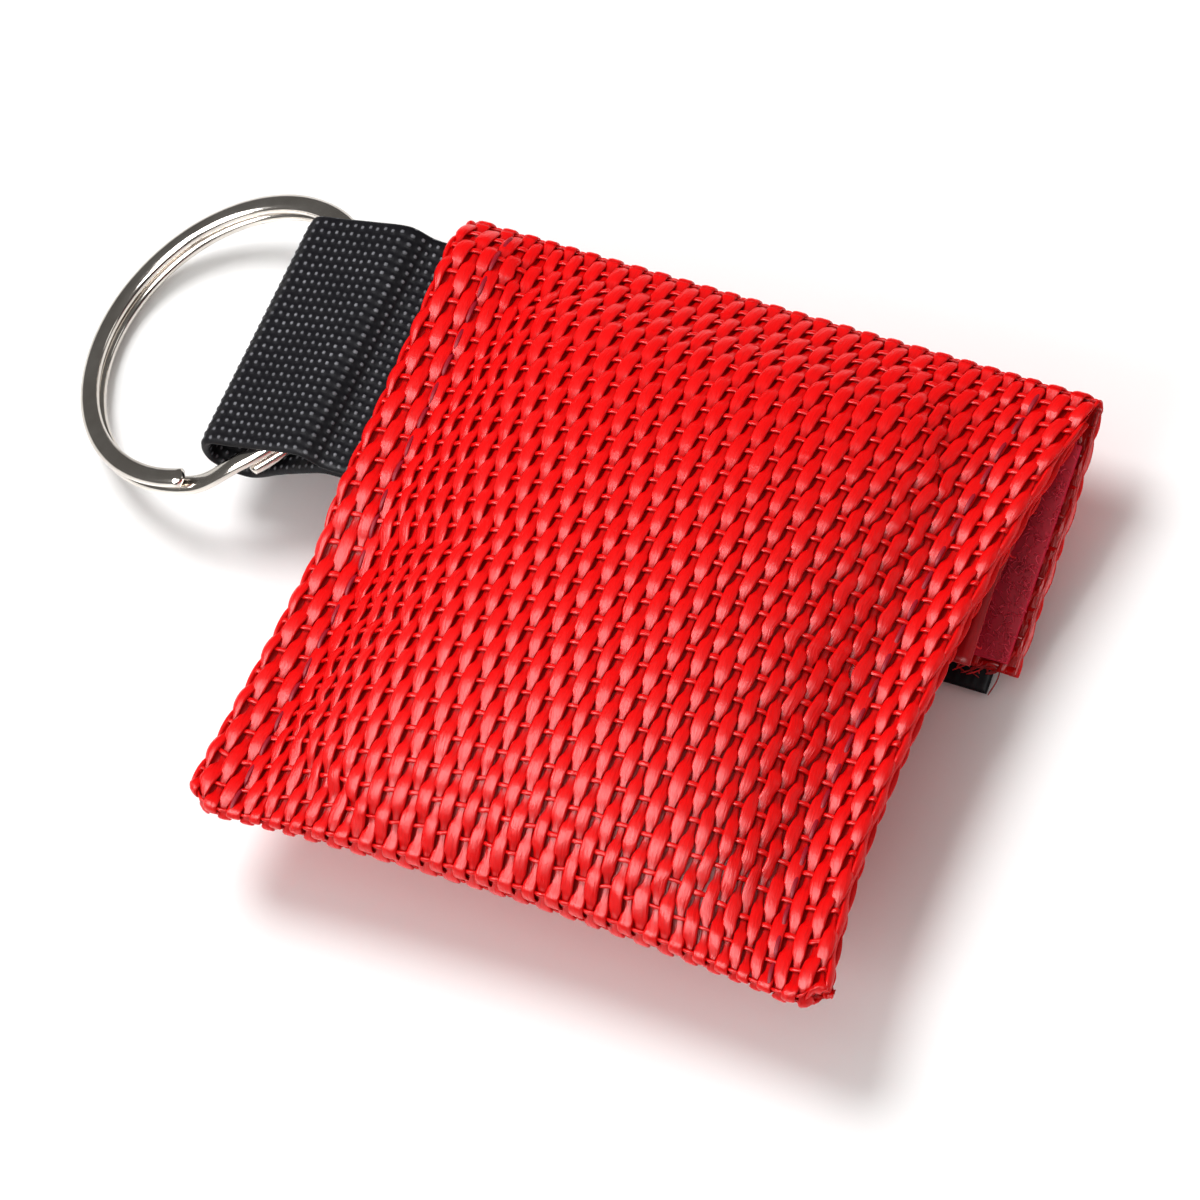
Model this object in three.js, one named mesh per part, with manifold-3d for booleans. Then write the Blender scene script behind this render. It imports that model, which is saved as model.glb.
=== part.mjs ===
// A small key-ring pouch of coarse woven nylon. A folded rescue-breathing face shield fills it.
// The pouch lies on its back, front face up, with its flap closed underneath.
// Millimetres and degrees. +X runs from the ring side to the free side, +Y to the top fold, +Z up.
// The origin is on the surface that the pouch lies on, under the middle of the pouch.
import * as THREE from "three";
import { mergeVertices } from "three/addons/utils/BufferGeometryUtils.js";
import Module from "manifold-3d";

const wasm = await Module();
wasm.setup();

// Pouch
const pouchWidth = 60; // side edge to side edge
const pouchHeight = 60; // top fold to bottom fold
const seamInset = 5; // stitch line in from each side edge
const sidePull = 1; // the filling pulls each side edge in by this at its middle
const bottomPull = 1.2; // the same for the bottom fold
const fabric = 0.7; // one layer of the woven nylon
const hem = 1.2; // a turned side edge, both of its layers
const seamHeight = 9.6; // height of the seams above the surface
const crown = 6.5; // rise of the front between its seams
const sewnGap = 0.1; // between layers that a seam holds together
const slackGap = 0.25; // between the two halves of the hook-and-loop closure
const jointGap = 0.3; // between pieces that turn against each other

// Flap
const flapLength = 23.6; // hinge line to raw lower edge
const flapWidth = 59.6;
const foldRadius = 1; // outside radius of the top fold
const floorGap = 0.12; // between the closed flap's lowest edge and the surface
const stripWidth = 10; // black pull strip on the flap's outer face, along the flap
const stripReach = 2; // strip past the flap's raw edge
const stripThickness = 0.5;
const stripInset = 1.5; // strip end in from the flap's side edge
const loopTapeWidth = 17;
const loopTapeThickness = 0.7;
const loopTapeInset = 1.6; // loop tape end in from the flap's side edge
const loopTapeEdge = 0.8; // loop tape up from the flap's raw edge
const hookTapeTop = 8; // hook tape's upper edge below the top fold
const hookTapeWidth = 18;
const hookTapeThickness = 0.5;

// Webbing loop
const webbing = 0.9; // one layer of the webbing
const webbingWidth = 23.4;
const webbingTop = 3.7; // webbing's upper edge below the top fold
const webbingReach = 13.2; // fold of the loop out from its hinge line
const webbingSag = 5; // slack side of the loop below the seams
const hingeOut = 1.3; // hinge line of the loop out from the pouch's side edge

// Split ring
const ringDiameter = 30;
const ringWireWidth = 1.75; // across the wire, along the ring's radius
const ringCoilHeight = 1.1; // one of its two turns
const ringCoilGap = 0.08; // between the turns
const ringTilt = 19; // the ring leans down towards its free side
const ringOut = 16.8; // ring's centre out from the pouch's side edge
const ringBelowTop = 16.2; // ring's centre below the top fold
const ringDrop = 3.6; // ring's centre below the seams
const jogAngle = -67; // where the wire steps from its first turn to its second
const jogHalfAngle = 12;
const tunnelClearance = 0.3; // between the ring's wire and the loop

// Thread
const threadRadius = 0.2;
const threadGap = 0.15; // thread to the layer that it lies on
const grooveHalfWidth = 0.6; // the groove that a seam's thread lies in

// Filling
const bagHalfWidth = 21;
const bagTop = 12; // bag's mouth below the top fold
const bagBottom = 5; // bag's closed end above the bottom fold
const bagFilm = 0.3;
const bagGap = 1; // bag to the pouch's inside
const shieldGap = 0.5; // folded shield to the bag's inside
const shieldThinnest = 0.5; // at its corners
const leafletGap = 0.15; // leaflet to the front panel
const leafletThickness = 0.25;
const leafletHalfWidth = 16;
const leafletTop = 17; // below the top fold
const leafletBottom = 11; // above the bottom fold
const valveRadius = 12.5; // flange of the one-way valve
const valveTubeRadius = 9;
const valveWall = 1.2;
const valveTubeHeight = 2.2;
const valveFlange = 1.2;
const valveCapHeight = 1;
const valveDisc = 0.5; // membrane
const valveFilter = 0.9;
const valveCentreY = -9;
const valveBase = 4.3; // underside of the valve above the surface

const rad = THREE.MathUtils.degToRad;
const mix = THREE.MathUtils.lerp;
const smooth = (t) => THREE.MathUtils.smoothstep(t, 0, 1);

const foldY = pouchHeight / 2;
const hingeY = foldY - foldRadius;
const hingeZ = seamHeight - 0.58;
const seamU = 1 - seamInset / (pouchWidth / 2);

// Flap: its own frame has +Y down the flap from the hinge and +Z out of its outer face.
const flapReach = flapLength + stripReach;
const stripOuter = foldRadius + sewnGap + stripThickness;
const flapAngle =
  Math.asin((hingeZ - floorGap) / Math.hypot(flapReach, stripOuter)) - Math.atan2(stripOuter, flapReach);
const flapInner = foldRadius - fabric;
const loopTapeInner = flapInner - sewnGap - loopTapeThickness;
const backCrownN = loopTapeInner - slackGap - hookTapeThickness - sewnGap;
const flapEndY = hingeY - flapLength * Math.cos(flapAngle);

// Height at y of a plane parallel to the flap, n out from the hinge line.
function flapPlaneZ(y, n) {
  const down = (hingeY + n * Math.sin(flapAngle) - y) * Math.tan(flapAngle);
  return hingeZ - down - n * Math.cos(flapAngle);
}

const frontTopY = hingeY - foldRadius - jointGap;
const mouthY = frontTopY - 0.4;
const webbingTopY = foldY - webbingTop;
const webbingBottomY = webbingTopY - webbingWidth;
const tailsThickness = 2 * webbing;
const webbingZ = seamHeight + tailsThickness / 2;

// The pouch's outline: u runs from side edge to side edge, v from the bottom fold to the top of the panel.
const outlineX = (u, v) => u * (pouchWidth / 2 - sidePull * (1 - v * v));
const bottomY = (u) => -pouchHeight / 2 + bottomPull * (1 - u * u);
const outlineY = (u, v, topY) => mix(bottomY(u), topY, (v + 1) / 2);
const rowAt = (u, y, topY) => (2 * (y - bottomY(u))) / (topY - bottomY(u)) - 1;

const bulge = (t, power, root) => Math.pow(Math.max(0, 1 - Math.pow(Math.abs(t), power)), root);
const grooveU = grooveHalfWidth / (pouchWidth / 2);
const fillU = seamU - grooveU;
const edgeLayers = (u) => mix(fabric, hem, smooth((Math.abs(u) - seamU - grooveU) / 0.03));

// The webbing's sewn tails lift the front panel along the ring side's seam.
function webbingLift(u, y) {
  const across = smooth((-u - (fillU - 0.08)) / 0.08);
  const above = smooth((webbingTopY + 1.4 - y) / 0.6);
  const below = smooth((y - webbingBottomY + 6) / 3);
  return tailsThickness * across * above * below;
}

function frontInner(u, v) {
  const dome = crown * bulge(u / fillU, 2.4, 0.8) * bulge(v, 2.6, 0.75);
  return seamHeight + sewnGap + dome + webbingLift(u, outlineY(u, v, frontTopY));
}
const frontOuter = (u, v) => frontInner(u, v) + edgeLayers(u);

// The back follows the closed flap down to its raw edge, and below it bellies out onto the surface.
function backOuter(u, v) {
  const y = outlineY(u, v, mouthY);
  const underFlap = Math.max(0.3, seamHeight - sewnGap - fabric - flapPlaneZ(y, backCrownN));
  const full = 1.06 * (seamHeight - sewnGap - fabric);
  const belly = mix(underFlap, full, smooth((flapEndY + 0.6 - y) / 6.2));
  const bottom = bulge(Math.max(0, (-v - 0.2) / 0.8), 2.4, 0.7);
  const drop = sewnGap + edgeLayers(u) + belly * bottom * bulge(u / fillU, 3, 0.9);
  return Math.max(0, seamHeight - drop);
}
const backInner = (u, v) => Math.min(backOuter(u, v) + edgeLayers(u), seamHeight - sewnGap);

// Evenly spaced stations, with extra ones closing in on both ends.
function stations(low, high, count, ends = []) {
  const even = Array.from({ length: count + 1 }, (_, i) => mix(low, high, i / count));
  const extra = ends.flatMap((d) => [low + d, high - d]);
  return [...even, ...extra].sort((a, b) => a - b);
}

// A closed sheet over a grid of columns and rows: point(c, r) gives [x, y, top, bottom].
function sheetGeometry(columns, rows, point) {
  const width = columns.length;
  const layer = width * rows.length;
  const position = new Float32Array(layer * 6);
  rows.forEach((r, j) =>
    columns.forEach((c, i) => {
      const [x, y, top, bottom] = point(c, r);
      position.set([x, y, top], (j * width + i) * 3);
      position.set([x, y, bottom], (layer + j * width + i) * 3);
    }),
  );
  const index = [];
  const quad = (a, b, c, d) => index.push(a, b, c, a, c, d);
  for (let j = 0; j < rows.length - 1; j++)
    for (let i = 0; i < width - 1; i++) {
      const a = j * width + i;
      quad(a, a + 1, a + width + 1, a + width);
      quad(layer + a, layer + a + width, layer + a + width + 1, layer + a + 1);
    }
  const wall = (a, b) => quad(b, a, layer + a, layer + b);
  for (let i = 0; i < width - 1; i++) {
    wall(i, i + 1);
    wall(layer - 1 - i, layer - 2 - i);
  }
  for (let j = 0; j < rows.length - 1; j++) {
    wall((j + 1) * width, j * width);
    wall(j * width + width - 1, (j + 2) * width - 1);
  }
  const geometry = new THREE.BufferGeometry();
  geometry.setAttribute("position", new THREE.BufferAttribute(position, 3));
  geometry.setIndex(index);
  return geometry;
}

function manifoldOf(geometry) {
  const bare = new THREE.BufferGeometry().setAttribute("position", geometry.getAttribute("position"));
  bare.setIndex(geometry.index);
  const merged = mergeVertices(bare, 1e-4);
  return new wasm.Manifold(
    new wasm.Mesh({
      numProp: 3,
      vertProperties: merged.attributes.position.array,
      triVerts: new Uint32Array(merged.index.array),
    }),
  );
}

function geometryOf(manifold) {
  const mesh = manifold.getMesh();
  const geometry = new THREE.BufferGeometry();
  geometry.setAttribute("position", new THREE.BufferAttribute(mesh.vertProperties, 3));
  geometry.setIndex(new THREE.BufferAttribute(mesh.triVerts, 1));
  return geometry;
}

const finish = (color, roughness, metalness = 0) =>
  new THREE.MeshStandardMaterial({ color, roughness, metalness });
const redNylon = finish(0xe8101a, 0.45);
const redLoop = finish(0xa0001e, 0.95);
const redHook = finish(0xd8121c, 0.6);
const redThread = finish(0x8c0f3a, 0.6);
const blackWebbing = finish(0x141219, 0.7);
const nickel = finish(0xb9b0a6, 0.22, 1);
const clearFilm = finish(0xe6eef2, 0.2);
const whitePlastic = finish(0xf2f2ee, 0.4);
const bluePlastic = finish(0x2f6fb5, 0.4);
const softSilicone = finish(0xdfe3e4, 0.6);
const paper = finish(0xf4f1e8, 0.85);

function mesh(name, geometry, material) {
  const made = new THREE.Mesh(geometry, material);
  made.name = name;
  return made;
}

// A round thread through a list of points.
function threadGeometry(points) {
  const section = new THREE.Shape().absarc(0, 0, threadRadius, 0, 2 * Math.PI);
  const path = new THREE.CatmullRomCurve3(points, false, "catmullrom", 0);
  return new THREE.ExtrudeGeometry(section, { steps: 2 * points.length, curveSegments: 3, extrudePath: path });
}

// A plate with rounded corners, its outline in X and Y and its thickness from z low to high.
function plateGeometry([x0, x1], [y0, y1], [low, high], corner) {
  const shape = new THREE.Shape();
  shape.moveTo(x0 + corner, y0);
  shape.lineTo(x1 - corner, y0);
  shape.absarc(x1 - corner, y0 + corner, corner, -Math.PI / 2, 0);
  shape.absarc(x1 - corner, y1 - corner, corner, 0, Math.PI / 2);
  shape.absarc(x0 + corner, y1 - corner, corner, Math.PI / 2, Math.PI);
  shape.absarc(x0 + corner, y0 + corner, corner, Math.PI, 1.5 * Math.PI);
  const plate = new THREE.ExtrudeGeometry(shape, { depth: high - low, bevelEnabled: false, curveSegments: 4 });
  return plate.translate(0, 0, low);
}

const panelRows = stations(-1, 1, 20, [0.01, 0.04]);
const outerColumns = [seamU, seamU + grooveU, seamU + grooveU + 0.03, 1];
const panelColumns = [
  ...outerColumns.map((u) => -u).reverse(),
  ...stations(-fillU, fillU, 12, [0.02, 0.06]),
  ...outerColumns,
];

// The strip of nylon makes the front and the back. Its turned side edges are sewn together.
function panels() {
  const front = sheetGeometry(panelColumns, panelRows, (u, v) => [
    outlineX(u, v),
    outlineY(u, v, frontTopY),
    frontOuter(u, v),
    frontInner(u, v),
  ]);
  const back = sheetGeometry(panelColumns, panelRows, (u, v) => [
    outlineX(u, v),
    outlineY(u, v, mouthY),
    backInner(u, v),
    backOuter(u, v),
  ]);
  return [mesh("front_panel", front, redNylon), mesh("back_panel", back, redNylon)];
}

// Hook tape across the back, from side edge to side edge, with its two rows of stitching.
function hookTape() {
  const top = foldY - hookTapeTop;
  const bottom = top - hookTapeWidth;
  const row = (y) => rowAt(0, y, mouthY);
  const rows = [row(bottom), ...panelRows.filter((v) => v > row(bottom) && v < row(top)), row(top)];
  const tape = sheetGeometry(panelColumns, rows, (u, v) => {
    const under = backOuter(u, v) - sewnGap;
    return [outlineX(u, v), outlineY(u, v, mouthY), under, under - hookTapeThickness];
  });
  const stitchRow = (y) =>
    panelColumns
      .filter((u) => Math.abs(u) < fillU - 0.03)
      .map((u) => {
        const z = backInner(u, row(y)) + threadGap + threadRadius;
        return new THREE.Vector3(outlineX(u, row(y)), outlineY(u, row(y), mouthY), z);
      });
  return [
    mesh("hook_tape", tape, redHook),
    mesh("hook_tape_thread_upper", threadGeometry(stitchRow(top - 1.5)), redThread),
    mesh("hook_tape_thread_lower", threadGeometry(stitchRow(bottom + 1.5)), redThread),
  ];
}

// One row of stitching down each side seam, seen in its groove on the front.
function seamThreads() {
  return [-1, 1].map((side) => {
    const u = side * seamU;
    const points = panelRows
      .filter((v) => Math.abs(v) < 0.95)
      .map((v) => {
        const z = frontOuter(u, v) + threadGap + threadRadius;
        return new THREE.Vector3(outlineX(u, v), outlineY(u, v, frontTopY), z);
      });
    return mesh(side < 0 ? "seam_thread_left" : "seam_thread_right", threadGeometry(points), redThread);
  });
}

// The flap swings on the top fold. It carries the loop tape inside and the pull strip outside.
function flap() {
  const half = flapWidth / 2;
  const section = new THREE.Shape();
  section.moveTo(flapLength, flapInner);
  section.lineTo(flapLength, foldRadius);
  section.lineTo(0, foldRadius);
  section.absarc(0, 0, foldRadius, Math.PI / 2, 2 * Math.PI + Math.asin(flapInner / foldRadius));
  const panel = new THREE.ExtrudeGeometry(section, {
    depth: flapWidth,
    bevelEnabled: false,
    curveSegments: 20,
  });
  // The section is drawn with its first axis down the flap and its second out of the outer face.
  panel.rotateY(Math.PI / 2);
  panel.rotateX(Math.PI / 2);
  panel.translate(-half, 0, 0);

  const tapeEnd = flapLength - loopTapeEdge;
  const loopTape = plateGeometry(
    [-half + loopTapeInset, half - loopTapeInset],
    [tapeEnd - loopTapeWidth, tapeEnd],
    [loopTapeInner, loopTapeInner + loopTapeThickness],
    0.6,
  );
  const strip = plateGeometry(
    [-half + stripInset, half - stripInset],
    [flapReach - stripWidth, flapReach],
    [foldRadius + sewnGap, stripOuter],
    1,
  );
  const stitchRow = (s, n) =>
    stations(-half + 3, half - 3, 12).map((x) => new THREE.Vector3(x, s, n + threadGap + threadRadius));
  const upper = threadGeometry(stitchRow(tapeEnd - loopTapeWidth + 1.5, foldRadius));
  const lower = threadGeometry(stitchRow(flapLength - 3, stripOuter));

  const group = new THREE.Group();
  group.position.set(0, hingeY, hingeZ);
  group.rotation.x = Math.PI + flapAngle;
  group.add(
    mesh("flap_panel", panel, redNylon),
    mesh("loop_tape", loopTape, redLoop),
    mesh("pull_strip", strip, blackWebbing),
    mesh("loop_tape_thread", upper, redThread),
    mesh("pull_strip_thread", lower, redThread),
  );
  return group;
}

const tilt = rad(ringTilt);
const ringRadius = ringDiameter / 2;
const ringHeight = 2 * ringCoilHeight + ringCoilGap;
const ringCentre = new THREE.Vector3(-pouchWidth / 2 - ringOut, foldY - ringBelowTop, seamHeight - ringDrop);
const loopHingeX = -pouchWidth / 2 - hingeOut;

// Height of the ring's middle plane at x, and half of its height measured upright.
const ringPlaneZ = (x) => ringCentre.z + (x - ringCentre.x) * Math.tan(tilt);
const ringHalfZ = ringHeight / 2 / Math.cos(tilt) + tunnelClearance;

// The loop of webbing that the ring hangs in, and its two tails in the side seam.
function webbingLoop() {
  const noseX = loopHingeX - webbingReach;
  const endX = ringCentre.x + ringRadius * Math.cos(tilt) + tunnelClearance + 0.1;
  const highX = endX - 1.2;
  const at = (share) => mix(highX, noseX, share);
  const sagZ = seamHeight - webbingSag;
  const upper = (x) => ringPlaneZ(x) + ringHalfZ;
  const lower = (x) => Math.min(ringPlaneZ(x) - ringHalfZ, mix(webbingZ, sagZ, smooth((endX - x) / 6)));
  const noseZ = (upper(at(0.9)) + sagZ) / 2;
  const tunnel = [
    [endX, ringPlaneZ(endX) - ringHalfZ],
    [endX, ringPlaneZ(endX) + 0.4],
    [highX, upper(highX)],
    [at(0.3), upper(at(0.3))],
    [at(0.6), upper(at(0.6))],
    [at(0.88), upper(at(0.9))],
    [noseX + webbing, noseZ],
    [at(0.86), sagZ + webbing],
    [at(0.6), lower(at(0.6)) + webbing / 2],
    [at(0.3), lower(at(0.3))],
    [highX, lower(highX)],
  ];
  const outer = [
    [highX, upper(highX) + webbing],
    [at(0.3), upper(at(0.3)) + webbing],
    [at(0.6), upper(at(0.6)) + webbing],
    [at(0.9), upper(at(0.9)) + webbing],
    [noseX, noseZ],
    [at(0.88), sagZ],
    [at(0.6), lower(at(0.6)) - webbing / 2],
    [at(0.3), lower(at(0.3)) - webbing],
    [highX, lower(highX) - webbing],
  ];
  const vectors = (points) => points.map(([x, z]) => new THREE.Vector2(x, z));
  const root = webbing + 0.05;
  const profile = new THREE.Shape();
  profile.moveTo(loopHingeX, webbingZ + root);
  profile.splineThru(vectors([...outer, [loopHingeX, webbingZ - root]]));
  profile.absarc(loopHingeX, webbingZ, root, -Math.PI / 2, Math.PI / 2);
  const hole = new THREE.Path();
  hole.moveTo(...tunnel[0]);
  hole.splineThru(vectors([...tunnel.slice(1), tunnel[0]]));
  profile.holes.push(hole);
  const loop = new THREE.ExtrudeGeometry(profile, {
    depth: webbingWidth,
    bevelEnabled: false,
    curveSegments: 4,
  });
  loop.rotateX(Math.PI / 2);
  loop.translate(0, webbingTopY, 0);
  const tails = plateGeometry(
    [-pouchWidth / 2 - 0.05, -pouchWidth / 2 + seamInset + 0.3],
    [webbingBottomY, webbingTopY],
    [seamHeight + 0.02, seamHeight + tailsThickness],
    0.3,
  );
  return [mesh("webbing_loop", loop, blackWebbing), mesh("webbing_tails", tails, blackWebbing)];
}

// Two turns of flat steel wire. The wire steps from the lower turn to the upper one at the jog.
function splitRing() {
  const start = rad(jogAngle + jogHalfAngle);
  const sweep = 4 * Math.PI - 2 * rad(jogHalfAngle);
  const jogStart = 2 * Math.PI - 2 * rad(jogHalfAngle);
  const step = ringCoilHeight + ringCoilGap;
  const radius = ringRadius - ringWireWidth / 2;
  const steps = 76;
  const corner = 0.38 * ringCoilHeight;
  const halfWidth = ringWireWidth / 2;
  const halfHeight = ringCoilHeight / 2;
  const section = [
    [halfWidth - corner, -halfHeight],
    [halfWidth, -halfHeight + corner],
    [halfWidth, halfHeight - corner],
    [halfWidth - corner, halfHeight],
    [-halfWidth + corner, halfHeight],
    [-halfWidth, halfHeight - corner],
    [-halfWidth, -halfHeight + corner],
    [-halfWidth + corner, -halfHeight],
  ];
  const count = section.length;
  const position = [];
  for (let i = 0; i <= steps; i++) {
    const turned = (sweep * i) / steps;
    const rise = step * (smooth((turned - jogStart) / (2 * rad(jogHalfAngle))) - 0.5);
    for (const [out, up] of section) {
      const r = radius + out;
      position.push(r * Math.cos(start + turned), r * Math.sin(start + turned), rise + up);
    }
  }
  const index = [];
  for (let i = 0; i < steps; i++)
    for (let k = 0; k < count; k++) {
      const a = i * count + k;
      const b = i * count + ((k + 1) % count);
      index.push(a, b + count, b, a, a + count, b + count);
    }
  for (let k = 1; k < count - 1; k++) {
    index.push(0, k, k + 1);
    const last = steps * count;
    index.push(last, last + k + 1, last + k);
  }
  const geometry = new THREE.BufferGeometry();
  geometry.setAttribute("position", new THREE.Float32BufferAttribute(position, 3));
  geometry.setIndex(index);
  const ring = mesh("split_ring", geometry, nickel);
  ring.position.copy(ringCentre);
  ring.rotation.y = -tilt;
  return ring;
}

const columnAt = (x) => x / (pouchWidth / 2 - sidePull / 2);

// A pillow-shaped solid inside the pouch, a given gap from its walls and nowhere thinner than thinnest.
function fillingGeometry(halfWidth, low, high, gap, thinnest, lowest = 0) {
  const columns = stations(-halfWidth, halfWidth, 10);
  const rows = stations(low, high, 10);
  return sheetGeometry(columns, rows, (x, y) => {
    const u = columnAt(x);
    const roof = frontInner(u, rowAt(u, y, frontTopY));
    const ground = backInner(u, rowAt(u, y, mouthY));
    const middle = (roof + ground) / 2;
    const half = Math.max(thinnest / 2, (roof - ground) / 2 - gap);
    return [x, y, middle + half, Math.max(middle - half, lowest)];
  });
}

// The face shield kit: film and valve in a small bag, and a printed leaflet over it.
function filling() {
  const low = -foldY + bagBottom;
  const high = foldY - bagTop;
  const bagInner = bagGap + bagFilm;
  const shieldInset = bagFilm + shieldGap;
  const leastInside = shieldThinnest + 2 * shieldGap;
  const leastOutside = leastInside + 2 * bagFilm;
  const outside = fillingGeometry(bagHalfWidth, low, high, bagGap, leastOutside);
  const inside = fillingGeometry(bagHalfWidth - bagFilm, low + bagFilm, high + 1, bagInner, leastInside);
  const bag = geometryOf(manifoldOf(outside).subtract(manifoldOf(inside)));

  const flangeLow = valveCapHeight + jointGap;
  const flangeHigh = flangeLow + valveFlange;
  const tubeHigh = flangeHigh + valveTubeHeight;
  const shield = fillingGeometry(
    bagHalfWidth - shieldInset,
    low + shieldInset,
    high - shieldInset,
    bagInner + shieldGap,
    shieldThinnest,
    valveBase + tubeHigh + jointGap,
  );

  const leaflet = sheetGeometry(
    stations(-leafletHalfWidth, leafletHalfWidth, 8),
    stations(-foldY + leafletBottom, foldY - leafletTop, 8),
    (x, y) => {
      const top = frontInner(columnAt(x), rowAt(columnAt(x), y, frontTopY)) - leafletGap;
      return [x, y, top, top - leafletThickness];
    },
  );

  const turned = (name, profile, material) => {
    const points = [...profile, profile[0]].map(([r, z]) => new THREE.Vector2(r, z));
    const piece = mesh(name, new THREE.LatheGeometry(points, 28), material);
    piece.rotation.x = Math.PI / 2;
    piece.position.set(0, valveCentreY, valveBase);
    return piece;
  };
  const ringProfile = (inner, outer, low, high) => [
    [inner, low],
    [outer, low],
    [outer, high],
    [inner, high],
  ];
  const bore = valveTubeRadius - valveWall;
  const discLow = flangeHigh + jointGap;
  const filterLow = discLow + valveDisc + jointGap;
  const discRadius = bore - jointGap;
  return [
    mesh("inner_bag", bag, clearFilm),
    mesh("shield_film", shield, clearFilm),
    mesh("leaflet", leaflet, paper),
    turned("valve_cap", ringProfile(4, valveRadius - 1, 0, valveCapHeight), bluePlastic),
    turned(
      "valve_body",
      [
        [bore, flangeLow],
        [valveRadius, flangeLow],
        [valveRadius, flangeHigh],
        [valveTubeRadius, flangeHigh],
        [valveTubeRadius, tubeHigh],
        [bore, tubeHigh],
      ],
      whitePlastic,
    ),
    turned("valve_membrane", ringProfile(1, discRadius, discLow, discLow + valveDisc), softSilicone),
    turned("valve_filter", ringProfile(1, discRadius, filterLow, filterLow + valveFilter), paper),
  ];
}

const pouch = new THREE.Group();
pouch.add(...panels(), ...hookTape(), ...seamThreads(), flap(), ...webbingLoop(), splitRing(), ...filling());

export default pouch;
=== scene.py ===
import math

import bpy
import numpy as np
from mathutils import Matrix, Vector
from mathutils.bvhtree import BVHTree


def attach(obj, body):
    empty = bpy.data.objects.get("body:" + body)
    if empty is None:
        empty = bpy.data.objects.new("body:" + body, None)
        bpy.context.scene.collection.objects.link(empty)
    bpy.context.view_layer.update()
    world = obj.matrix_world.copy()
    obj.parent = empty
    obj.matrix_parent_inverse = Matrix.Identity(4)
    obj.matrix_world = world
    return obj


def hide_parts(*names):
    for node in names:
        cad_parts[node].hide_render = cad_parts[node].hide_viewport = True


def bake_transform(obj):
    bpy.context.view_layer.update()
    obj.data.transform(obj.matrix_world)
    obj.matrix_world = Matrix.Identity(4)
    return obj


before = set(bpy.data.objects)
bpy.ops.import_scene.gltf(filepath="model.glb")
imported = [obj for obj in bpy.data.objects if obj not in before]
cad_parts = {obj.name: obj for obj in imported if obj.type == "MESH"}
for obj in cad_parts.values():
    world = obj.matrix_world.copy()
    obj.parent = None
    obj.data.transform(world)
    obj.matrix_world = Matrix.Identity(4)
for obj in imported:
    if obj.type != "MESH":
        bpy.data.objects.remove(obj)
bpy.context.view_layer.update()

# ---------------------------------------------------------------------------
# Camera and studio. A long lens looks down on the pouch from its lower right, turned a little.
# A soft key light hangs over the ring side, two wide ones only glint on the threads, and a low and a
# weak back light fill in. The floor is a plain pale sheet that runs on past the view's edges.
bpy.context.scene.view_settings.view_transform = "Standard"
bpy.context.scene.view_settings.look = "None"
view_right = Vector((0.885, 0.407, -0.228)).normalized()
view_back = Vector((0.385, -0.360, 0.851)).normalized()
view_up = view_back.cross(view_right).normalized()
view_right = view_up.cross(view_back).normalized()
camera_data = bpy.data.cameras.new("camera")
camera_data.lens = 357
camera_data.clip_start = 0.05
camera = bpy.data.objects.new("camera", camera_data)
bpy.context.scene.collection.objects.link(camera)
view_centre = Vector((-0.00333, -0.00086, 0.0096))
turn = Matrix((view_right, view_up, view_back)).transposed().to_4x4()
camera.matrix_world = Matrix.Translation(view_centre + view_back * 1.0) @ turn
bpy.context.scene.camera = camera


def soft_light(name, direction, distance, size, power, diffuse=True, glossy=True):
    data = bpy.data.lights.new(name, "AREA")
    data.shape = "DISK"
    data.size = size
    data.energy = power
    lamp = bpy.data.objects.new(name, data)
    bpy.context.scene.collection.objects.link(lamp)
    away = Vector(direction).normalized()
    lamp.location = away * distance
    lamp.rotation_mode = "QUATERNION"
    lamp.rotation_quaternion = away.to_track_quat("Z", "Y")
    lamp.visible_diffuse = diffuse
    lamp.visible_glossy = glossy


soft_light("key_light", (-0.42, 0.30, 0.85), 0.55, 0.28, 2.35, glossy=False)
soft_light("gloss_light", (-0.385, -0.42, 0.82), 0.60, 0.50, 10.0, diffuse=False)
soft_light("right_gloss", (0.27, -0.36, 0.89), 0.60, 0.40, 4.0, diffuse=False)
soft_light("low_light", (-0.28, -0.76, 0.58), 0.60, 0.36, 1.1)
soft_light("back_light", (0.75, 0.50, 0.45), 0.70, 0.30, 0.3)

world = bpy.data.worlds.new("studio")
world.use_nodes = True
sky = world.node_tree.nodes["Background"]
sky.inputs["Color"].default_value = (1.0, 0.985, 0.96, 1)
ray = world.node_tree.nodes.new("ShaderNodeLightPath")
sky_strength = world.node_tree.nodes.new("ShaderNodeMapRange")
sky_strength.inputs["To Min"].default_value = 0.42
sky_strength.inputs["To Max"].default_value = 0.14
world.node_tree.links.new(ray.outputs["Is Glossy Ray"], sky_strength.inputs["Value"])
world.node_tree.links.new(sky_strength.outputs[0], sky.inputs["Strength"])
bpy.context.scene.world = world

bpy.ops.object.select_all(action="DESELECT")
bpy.ops.mesh.primitive_plane_add(size=3, location=(0, 0, -0.00005))
floor = bpy.context.object
floor.name = "floor"
floor_paint = bpy.data.materials.new("floor_paint")
floor_paint.use_nodes = True
floor_shader = floor_paint.node_tree.nodes["Principled BSDF"]
floor_shader.inputs["Base Color"].default_value = (0.97, 0.97, 0.97, 1)
floor_shader.inputs["Roughness"].default_value = 0.35
floor.data.materials.append(floor_paint)

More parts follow.
